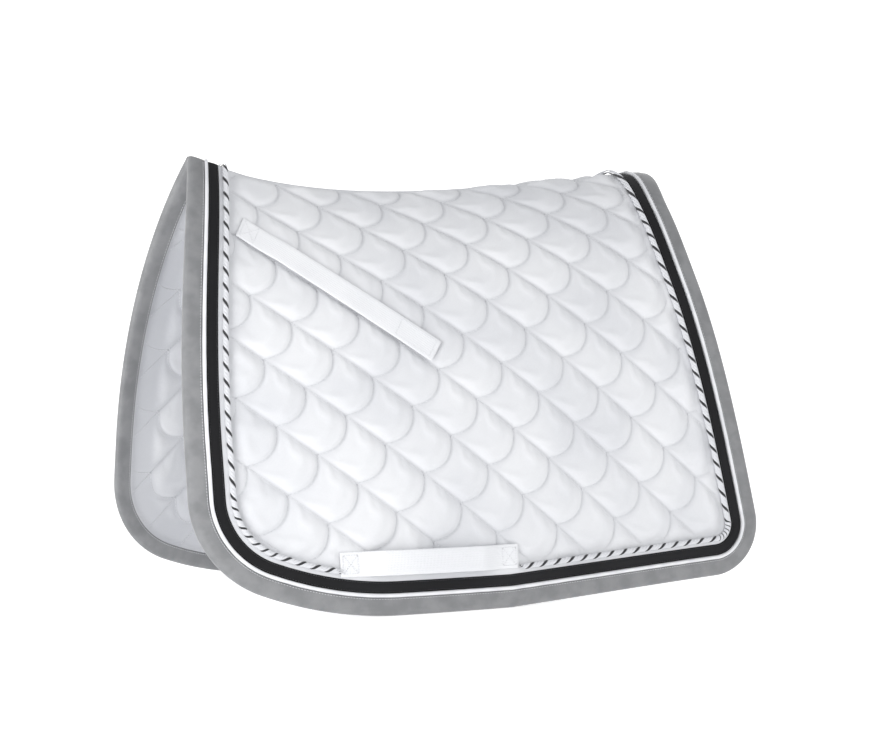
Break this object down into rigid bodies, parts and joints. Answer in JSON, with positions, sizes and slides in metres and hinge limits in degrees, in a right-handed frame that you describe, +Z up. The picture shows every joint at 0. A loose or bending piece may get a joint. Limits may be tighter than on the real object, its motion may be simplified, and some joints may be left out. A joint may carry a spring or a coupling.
{
  "type": "saddle pad",
  "caption": "Contoured quilted saddle pad with bound edge, piping, ribbon and twisted cord, folding flaps, hook-and-loop billet straps and girth keepers.",
  "frame": {"origin": "on the floor under the middle of the pad as it stands astride on the bottom edges of its flaps", "axes": "+X along the spine from the withers end to the rear, +Y from the near flap to the far flap, +Z up"},
  "size_m": [0.662, 0.4046, 0.4879],
  "materials": {
    "cotton_cover": "quilted cotton twill, matt",
    "cotton_lining": "plain cotton, matt",
    "wadding": "needled wadding",
    "satin_binding": "satin-faced binding, soft sheen",
    "piping": "bright corded piping",
    "ribbon": "flat woven ribbon",
    "twisted_cord": "two-coloured twisted cord",
    "webbing": "woven webbing",
    "thread": "stitched thread",
    "hook_and_loop": "hook and loop tape",
    "seam_tape": "cotton tape"
  },
  "bodies": {
    "bridge": {"near_top_cover": "cotton_cover", "far_top_cover": "cotton_cover", "near_top_wadding": "wadding", "far_top_wadding": "wadding", "near_top_lining": "cotton_lining", "far_top_lining": "cotton_lining", "spine_seam_tape": "seam_tape", "front_arch_binding": "satin_binding", "rear_arch_binding": "satin_binding", "front_arch_piping": "piping", "rear_arch_piping": "piping", "front_arch_ribbon": "ribbon", "rear_arch_ribbon": "ribbon", "front_arch_cord": "twisted_cord", "rear_arch_cord": "twisted_cord"},
    "near_flap": {"near_flap_cover": "cotton_cover", "near_flap_wadding": "wadding", "near_flap_lining": "cotton_lining", "near_flap_binding": "satin_binding", "near_flap_piping": "piping", "near_flap_ribbon": "ribbon", "near_front_cord": "twisted_cord", "near_rear_cord": "twisted_cord", "near_girth_keeper": "webbing", "near_keeper_stitching": "thread", "near_strap_anchor": "webbing", "near_strap_stitching": "thread", "near_loop_patch": "hook_and_loop"},
    "near_strap": {"near_billet_strap": "webbing", "near_hook_patch": "hook_and_loop"},
    "far_flap": {"far_flap_cover": "cotton_cover", "far_flap_wadding": "wadding", "far_flap_lining": "cotton_lining", "far_flap_binding": "satin_binding", "far_flap_piping": "piping", "far_flap_ribbon": "ribbon", "far_front_cord": "twisted_cord", "far_rear_cord": "twisted_cord", "far_girth_keeper": "webbing", "far_keeper_stitching": "thread", "far_strap_anchor": "webbing", "far_strap_stitching": "thread", "far_loop_patch": "hook_and_loop"},
    "far_strap": {"far_billet_strap": "webbing", "far_hook_patch": "hook_and_loop"}
  },
  "joints": [
    {"name": "near_flap_fold", "type": "hinge", "parent": "bridge", "child": "near_flap", "pos_m": [-0.0155, -0.06433, 0.422], "axis": [-0.9964, 0.0845, 0], "range_deg": [-20, 75]},
    {"name": "far_flap_fold", "type": "hinge", "parent": "bridge", "child": "far_flap", "pos_m": [-0.0155, 0.06433, 0.422], "axis": [0.9964, 0.0845, 0], "range_deg": [-20, 75]},
    {"name": "near_strap_peel", "type": "hinge", "parent": "near_flap", "child": "near_strap", "pos_m": [-0.22831, -0.07, 0.389], "axis": [-0.515, -0.4401, -0.7356], "range_deg": [0, 90]},
    {"name": "far_strap_peel", "type": "hinge", "parent": "far_flap", "child": "far_strap", "pos_m": [-0.22831, 0.07, 0.389], "axis": [0.515, -0.4401, 0.7356], "range_deg": [0, 90]}
  ]
}
